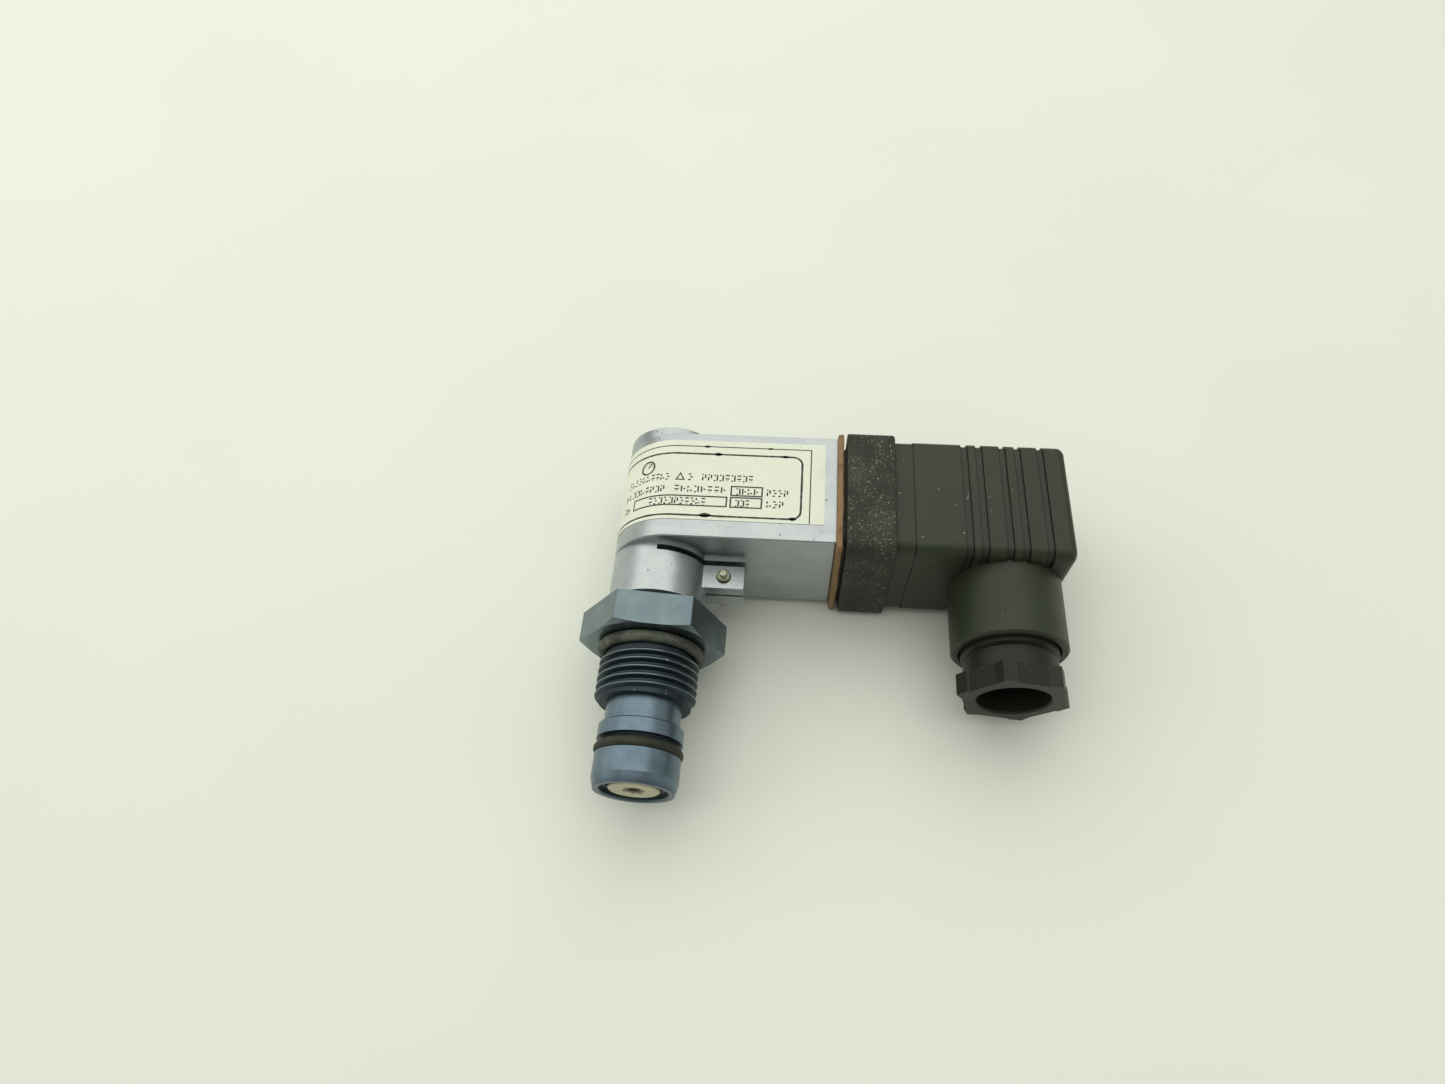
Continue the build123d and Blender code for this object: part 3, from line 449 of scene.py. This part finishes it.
def label_ink():
    """Screen-printed ink, thin in places."""
    s = Surface("label_ink", Specular_IOR_Level=0.4)
    thin = s.noise(2500, detail=5, roughness=0.7)
    worn = s.noise(300, detail=3)
    colour = s.blend(s.spread(thin, 0.35, 0.75), (0.018, 0.018, 0.014), (0.045, 0.043, 0.034))
    colour = s.cover(colour, (0.16, 0.145, 0.105), s.spread(worn, 0.58, 0.74), 0.3)
    s.paint(colour, s.calc("MULTIPLY_ADD", thin, 0.1, 0.4))
    s.relief((thin, 0.003 * MM))
    return s


def lead_insulation():
    """Three insulated leads, told apart by colour."""
    blue, brown, green = (0.03, 0.09, 0.32), (0.22, 0.075, 0.03), (0.10, 0.30, 0.06)
    s = Surface("lead_insulation", Specular_IOR_Level=0.5)
    extruded = s.noise(1200, s.vector(s.times(s.x, 0.1), s.y, s.z), 3)
    first = s.calc("LESS_THAN", s.y, PLUG_Y - 0.45 * MM)
    third = s.calc("GREATER_THAN", s.z, 0.35 * MM)
    colour = s.blend(third, s.blend(first, blue, brown), green)
    colour = s.cover(colour, (0.02, 0.02, 0.02), extruded, 0.3)
    s.paint(colour, s.calc("MULTIPLY_ADD", extruded, 0.15, 0.3))
    s.relief((extruded, 0.01 * MM))
    return s


# ---------------------------------------------------------------- printing on the label

INK_THICK = 0.018 * MM
INK_SUNK = 0.01 * MM
LINE = 0.35 * MM
MARK_HIGH = 1.6 * MM
MARK_PART = 0.84
BORDER_END = -24.5 * MM
CORNER_STEPS = 8
BLOB_STEPS = 8


def at(x, y):
    """Label coordinates (u, y) of a place given in millimetres along X and Y."""
    return (x * MM - ROUND_X, y * MM)


def along(x):
    """Label coordinate u of a place given in millimetres along X."""
    return at(x, 0)[0]


def on_label(u, y, lift):
    """Point above the label's face. u runs along the label from where its round end starts."""
    reach = LABEL_FACE + lift
    if u >= 0:
        return Vector((ROUND_X + u, y, reach))
    angle = u / LABEL_FACE
    return Vector((ROUND_X + reach * math.sin(angle), y, reach * math.cos(angle)))


def on_dial(centre, reach, turn):
    """Point on a circle about centre, turn being a part of a whole turn."""
    angle = turn * math.tau
    return (centre[0] + reach * math.cos(angle), centre[1] + reach * math.sin(angle))


def steps(start, end, pace=0.8 * MM):
    """Points from start to end, close enough together to bend round the label's end."""
    start, end = Vector(start), Vector(end)
    count = max(1, math.ceil((end - start).length / pace))
    return [start.lerp(end, i / count) for i in range(count + 1)]


def side_of(points, index, closed):
    """Mitred normal of a line at one of its points."""
    count = len(points)
    before = points[index - 1] if index > 0 or closed else points[index]
    after = points[(index + 1) % count] if index < count - 1 or closed else points[index]
    first = (points[index] - before).normalized() if points[index] != before else None
    second = (after - points[index]).normalized() if points[index] != after else None
    first = first or second
    second = second or first
    mean = (first + second).normalized()
    stretch = 1 / max(0.6, mean.dot(first))
    return Vector((-mean.y, mean.x)) * stretch


def ink_line(bm, points, width, closed=False):
    """Thin closed ribbon of ink along points (u, y). width is one value, or one for each point."""
    points = [Vector(p) for p in points]
    widths = width if isinstance(width, (list, tuple)) else [width] * len(points)
    rings = []
    for index, (point, wide) in enumerate(zip(points, widths)):
        side = side_of(points, index, closed) * (wide / 2)
        left, right = point - side, point + side
        corners = ((left, -INK_SUNK), (right, -INK_SUNK), (right, INK_THICK), (left, INK_THICK))
        rings.append([bm.verts.new(on_label(p.x, p.y, lift)) for p, lift in corners])
    pairs = list(zip(rings, rings[1:]))
    if closed:
        pairs.append((rings[-1], rings[0]))
    else:
        bm.faces.new(rings[0])
        bm.faces.new(reversed(rings[-1]))
    for ring, following in pairs:
        for corner in range(4):
            other = (corner + 1) % 4
            bm.faces.new((ring[other], ring[corner], following[corner], following[other]))


def ink_box(bm, left, right, low, high):
    corners = [(left, low), (right, low), (right, high), (left, high)]
    points = []
    for corner, following in zip(corners, corners[1:] + corners[:1]):
        points += steps(corner, following)[:-1]
    ink_line(bm, points, LINE, closed=True)


def ink_blob(bm, u, y, length, height, seed):
    """Spread drop of ink, longer along the label than across it."""
    rng = random.Random(seed)
    points, widths = [], []
    for i in range(BLOB_STEPS + 1):
        t = i / BLOB_STEPS
        bulge = math.sin(math.pi * (0.06 + 0.88 * t)) ** 0.8
        points.append((u + (t - 0.5) * length, y + rng.uniform(-0.05, 0.05) * height))
        widths.append(height * bulge * rng.uniform(0.85, 1.1))
    ink_line(bm, points, widths)


# bars that stand in for lettering, in a cell one unit wide and high; none makes a letter
MARKS = (
    (((0.2, 0.0), (0.2, 1.0)), ((0.52, 0.5), (0.9, 0.5))),
    (((0.1, 0.98), (0.9, 0.98)), ((0.1, 0.4), (0.9, 0.4)), ((0.5, 0.0), (0.5, 0.1))),
    (((0.2, 0.0), (0.2, 0.6)), ((0.75, 0.4), (0.75, 1.0)), ((0.1, 0.98), (0.4, 0.98))),
    (((0.1, 0.98), (0.6, 0.98)), ((0.4, 0.5), (0.9, 0.5)), ((0.1, 0.02), (0.6, 0.02))),
    (((0.15, 0.0), (0.15, 0.35)), ((0.15, 0.65), (0.15, 1.0)), ((0.5, 0.25), (0.9, 0.25))),
    (((0.8, 0.0), (0.8, 1.0)), ((0.1, 0.98), (0.45, 0.98)), ((0.1, 0.02), (0.45, 0.02))),
)

# rows of marks: left and right end along the label, low edge in millimetres, how many, seed
ROWS = (
    (-13.6 * MM, along(1.5), 36.6, 10, 11),
    (along(5.5), along(7.1), 36.6, 1, 12),
    (along(8.8), along(20.9), 36.6, 9, 13),
    (-14.2 * MM, along(0.7), 33.3, 9, 14),
    (along(2.6), along(14.9), 33.3, 8, 15),
    (along(23.9), along(29.1), 33.0, 4, 16),
    (along(24.0), along(28.2), 29.95, 3, 17),
    (-14.3 * MM, -11.6 * MM, 29.6, 2, 18),
    (along(16.9), along(22.3), 33.1, 4, 19),
    (along(16.9), along(20.4), 29.9, 3, 20),
    (-6.2 * MM, along(10.4), 30.0, 11, 21),
)

# boxes round some of them: left and right end along the label, low and high edge in millimetres
BOXES = (
    (along(15.85), along(22.9), 32.75, 35.2),
    (along(15.85), along(22.9), 29.6, 32.2),
    (-10.5 * MM, along(14.95), 29.65, 32.2),
)

# ink that ran along the borders: x, y, length and height in millimetres, seed
BLOBS = (
    (9.4, 46.2, 1.7, 0.65, 31),
    (24.3, 46.2, 1.6, 0.55, 32),
    (12.1, 44.05, 2.0, 0.95, 33),
    (27.8, 44.05, 1.7, 0.8, 34),
    (10.4, 27.15, 2.8, 1.15, 35),
    (30.0, 27.15, 1.8, 0.9, 36),
)


def ink_marks(bm, start, end, low, count, seed):
    """Row of plain strokes as long and as open as a printed word."""
    rng = random.Random(seed)
    cell = (end - start) / count
    for i in range(count):
        left = start + i * cell
        for a, b in rng.choice(MARKS):
            ends = [(left + MARK_PART * cell * p[0], low + MARK_HIGH * p[1]) for p in (a, b)]
            ink_line(bm, steps(*ends), LINE)


def ink_gauge(bm):
    """Plain gauge pictogram: a ring, a pointer and a half circle of ticks."""
    centre, reach = (-7.6 * MM, 40.6 * MM), 1.75 * MM
    ink_line(bm, [on_dial(centre, reach, turn / 28) for turn in range(28)], 0.42 * MM, closed=True)
    ink_line(bm, [centre, on_dial(centre, 0.7 * reach, 0.13)], 0.36 * MM)
    for turn in range(7):
        tick = [on_dial(centre, part * reach, turn / 12) for part in (0.62, 0.86)]
        ink_line(bm, tick, 0.18 * MM)


def label_rows(bm):
    """Rows of marks, boxes round some of them, a triangle and the gauge."""
    for start, end, low, count, seed in ROWS:
        ink_marks(bm, start, end, low * MM, count, seed)
    for left, right, low, high in BOXES:
        ink_box(bm, left, right, low * MM, high * MM)
    ink_line(bm, [at(2.9, 36.6), at(4.7, 36.6), at(3.75, 38.4)], LINE, closed=True)
    ink_gauge(bm)


def label_borders(bm):
    """The thin outer line and the thick round-cornered one, both running on round the end."""
    right, top = at(33.8, 46.2)
    route = steps((BORDER_END, top), (right, top))[:-1]
    route += steps((right, top), (right, LABEL_LOW.y + 0.1 * MM))
    ink_line(bm, route, 0.26 * MM)
    right, top = at(31.8, 44.05)
    low, corner = 27.05 * MM, 2.2 * MM
    upper, lower = (right - corner, top - corner), (right - corner, low + corner)
    quarter = [-i / CORNER_STEPS / 4 for i in range(1, CORNER_STEPS + 1)]
    points = steps((BORDER_END, top), (right - corner, top))
    points += [Vector(on_dial(upper, corner, 0.25 + turn)) for turn in quarter]
    points += steps((right, top - corner), (right, low + corner))[1:-1]
    points += [Vector(on_dial(lower, corner, turn)) for turn in quarter]
    points += steps((right - corner, low), (BORDER_END, low))[1:]
    rng = random.Random(5)
    ink_line(bm, points, [0.46 * MM * rng.uniform(0.85, 1.15) for _ in points])


def label_blobs(bm):
    """Ink that ran at places along the borders."""
    for x, y, length, height, seed in BLOBS:
        ink_blob(bm, *at(x, y), length * MM, height * MM, seed)


def ink_piece(name, draw, surface):
    """One mesh of printing that rides with the indicator's head."""
    bm = bmesh.new()
    draw(bm)
    piece = new_piece(name, bm, surface)
    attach(piece, "head")


# ---------------------------------------------------------------- gasket

GASKET_POINTS = 240
GASKET_CORNER = 0.8 * MM
GASKET_BEND = 0.38 * MM
GASKET_SWELL = 0.006
FREE_FROM = 0.93
WAVE_TURNS = (3, 5, 8, 13, 21)
# the section from its inside to half its thickness: how far out, and how deep in the thickness
HALF_SECTION = ((0.66, 0.0), (FREE_FROM, 0.0), (0.965, 0.0), (0.993, 0.03), (1.0, 0.2), (1.003, 0.5))


def rounded_square(half, corner, count):
    """count points round a square with round corners, evenly spaced, as (y, z) about its middle."""
    straight = 2 * (half - corner)
    quarter = corner * math.pi / 2
    points = []
    for i in range(count):
        side, along_side = divmod(4 * i / count, 1)
        reach = along_side * (straight + quarter)
        if reach < straight:
            point = Vector((half, reach - straight / 2))
        else:
            turn = (reach - straight) / corner / math.tau
            point = Vector(on_dial((half - corner, straight / 2), corner, turn))
        points.append(Matrix.Rotation(side * math.pi / 2, 2) @ point)
    return points


def make_gasket(surface):
    """Sheet gasket whose free rim waves and swells a little, for the flat CAD one."""
    low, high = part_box("flange_gasket")
    centre_y, half = (low.y + high.y) / 2, (high.y - low.y) / 2
    thick = high.x - low.x
    rng = random.Random(8)
    waves = [(turns, rng.uniform(0, math.tau), rng.uniform(0.4, 1.0)) for turns in WAVE_TURNS]
    total = sum(size for _, _, size in waves)
    section = HALF_SECTION + tuple((out, 1 - place) for out, place in reversed(HALF_SECTION[:-1]))
    bm = bmesh.new()
    rings = []
    for i, point in enumerate(rounded_square(half, GASKET_CORNER, GASKET_POINTS)):
        around = math.tau * i / GASKET_POINTS
        wave = sum(size * math.sin(turns * around + shift) for turns, shift, size in waves) / total
        ring = []
        for out, place in section:
            free = max(0.0, (out - FREE_FROM) / (1 - FREE_FROM))
            bend = GASKET_BEND * free * free * (0.5 + 0.5 * wave)
            reach = out * (1 + GASKET_SWELL * free * wave)
            spot = (low.x + place * thick + bend, centre_y + reach * point.x, reach * point.y)
            ring.append(bm.verts.new(spot))
        rings.append(ring)
    for ring, following in zip(rings, rings[1:] + rings[:1]):
        for station in range(len(section)):
            other = (station + 1) % len(section)
            bm.faces.new((ring[station], ring[other], following[other], following[station]))
    piece = new_piece("gasket", bm, surface)
    for polygon in piece.data.polygons:
        polygon.use_smooth = True
    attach(piece, "head")
    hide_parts("flange_gasket")


# ---------------------------------------------------------------- stage, light and camera


def make_floor():
    bpy.ops.mesh.primitive_plane_add(size=6, location=(0, 0, FLOOR_Z - 0.02 * MM))
    floor = bpy.context.object
    floor.name = "floor"
    s = Surface("floor_sheet", Specular_IOR_Level=0.15, Roughness=0.75)
    s.paint(s.blend(s.spread(s.noise(9, detail=3), 0.2, 0.8), *FLOOR_TONES))
    floor.data.materials.append(s.material)


def make_lamp(name, place, size, power):
    """Square soft light that faces the middle of the object."""
    light = bpy.data.lights.new(name, "AREA")
    light.shape = "SQUARE"
    light.size = size
    light.energy = power
    light.color = LAMP_TINT
    lamp = bpy.data.objects.new(name, light)
    lamp.location = place
    towards = (cad_box[0] + cad_box[1]) / 2 - Vector(place)
    lamp.rotation_euler = towards.to_track_quat("-Z", "Y").to_euler()
    bpy.context.scene.collection.objects.link(lamp)


def make_world():
    world = bpy.data.worlds.new("room")
    bpy.context.scene.world = world
    world.use_nodes = True
    background = world.node_tree.nodes["Background"]
    background.inputs["Color"].default_value = (*WORLD_TINT, 1.0)
    background.inputs["Strength"].default_value = WORLD_STRENGTH


def make_camera():
    forward = Vector((
        math.sin(CAMERA_YAW) * math.cos(CAMERA_PITCH),
        math.cos(CAMERA_YAW) * math.cos(CAMERA_PITCH),
        -math.sin(CAMERA_PITCH),
    ))
    level = Vector((math.cos(CAMERA_YAW), -math.sin(CAMERA_YAW), 0))
    upright = level.cross(forward)
    right = level * math.cos(CAMERA_ROLL) + upright * math.sin(CAMERA_ROLL)
    up = upright * math.cos(CAMERA_ROLL) - level * math.sin(CAMERA_ROLL)
    data = bpy.data.cameras.new("camera")
    data.lens = CAMERA_LENS
    data.sensor_width = 36
    data.clip_start = 0.005
    data.clip_end = 20
    camera = bpy.data.objects.new("camera", data)
    facing = Matrix((right, up, -forward)).transposed().to_4x4()
    camera.matrix_world = Matrix.Translation(CAMERA_AT) @ facing
    bpy.context.scene.collection.objects.link(camera)
    bpy.context.scene.camera = camera


# ---------------------------------------------------------------- make it all


def dress_cartridge():
    use(blue_anodised(), "cartridge_body")
    use(disc_nylon(), "inlet_disc")
    use(rubber("port_seal", (0.034, 0.039, 0.032), (0.195, 0.215, 0.165), 0.7, 0.35), "port_o_ring")
    nose_seal = rubber("nose_seal", (0.021, 0.022, 0.015), (0.070, 0.074, 0.050), 0.5)
    use(nose_seal, "nose_o_ring", "piston_seal")
    dark_steel = plated("spring_steel", (0.10, 0.10, 0.095), (0.045, 0.045, 0.045), 0.3)
    use(dark_steel, "retaining_ring", "return_spring", "magnet_clip")
    ground = plated("ground_steel", (0.58, 0.58, 0.57), (0.48, 0.48, 0.47), 0.18, 5000)
    use(ground, "piston", "spring_guide")
    use(plated("magnet_alloy", (0.16, 0.16, 0.165), (0.09, 0.09, 0.095), 0.45, 3500), "magnet")


def dress_head():
    use(brushed_housing(), "indicator_housing")
    use(plated("yellow_zinc", (0.52, 0.515, 0.41), (0.27, 0.26, 0.19), 0.26, 3200), "clamp_screw")
    use(label_film(), "label")
    use(moulded("potting_resin", (0.020, 0.020, 0.022), 0.3), "switch_capsule")
    use(lead_insulation(), "switch_leads")
    use(moulded("base_nylon", PLUG_TONE, 0.46, 0.36, 2200), "connector_base")


def dress_plug():
    boot = rubber("dusty_boot", (0.021, 0.0235, 0.0165), (0.085, 0.090, 0.064), 0.25, 0.95, BOOT_DUST)
    use(boot, "socket_boot")
    plug = moulded("plug_nylon", PLUG_TONE, 0.46, 0.36, 2200, 0.8, PLUG_CRUMBS, PLUG_CORNERS)
    use(plug, "plug_housing")
    use(moulded("nut_nylon", NUT_TONE, 0.44, 0.3, 2400, 0.25), "gland_nut", "gland_washer")
    grommet = rubber("grommet_rubber", (0.014, 0.014, 0.012), (0.03, 0.03, 0.025), 0.3)
    use(grommet, "gland_grommet", "screw_seal")
    use(moulded("grey_insert", (0.16, 0.165, 0.17), 0.5), "terminal_insert")


def dress_terminals():
    zinc = plated("zinc_plate", (0.66, 0.67, 0.66), (0.50, 0.51, 0.50))
    use(zinc, "base_screws", "terminal_screws", "centre_screw")
    tinned = plated("tinned_brass", (0.72, 0.68, 0.58), (0.58, 0.52, 0.40), 0.25)
    use(tinned, "contact_blades", "earth_blade", "plug_sockets")


dress_cartridge()
dress_head()
dress_plug()
dress_terminals()
make_gasket(gasket_sheet())

ink = label_ink()
ink_piece("label_borders", label_borders, ink)
ink_piece("label_rows", label_rows, ink)
ink_piece("label_blobs", label_blobs, ink)

make_floor()
make_world()
for lamp_settings in LAMPS:
    make_lamp(*lamp_settings)
make_camera()

settings = bpy.context.scene.view_settings
settings.view_transform = "Standard"
settings.look = "None"
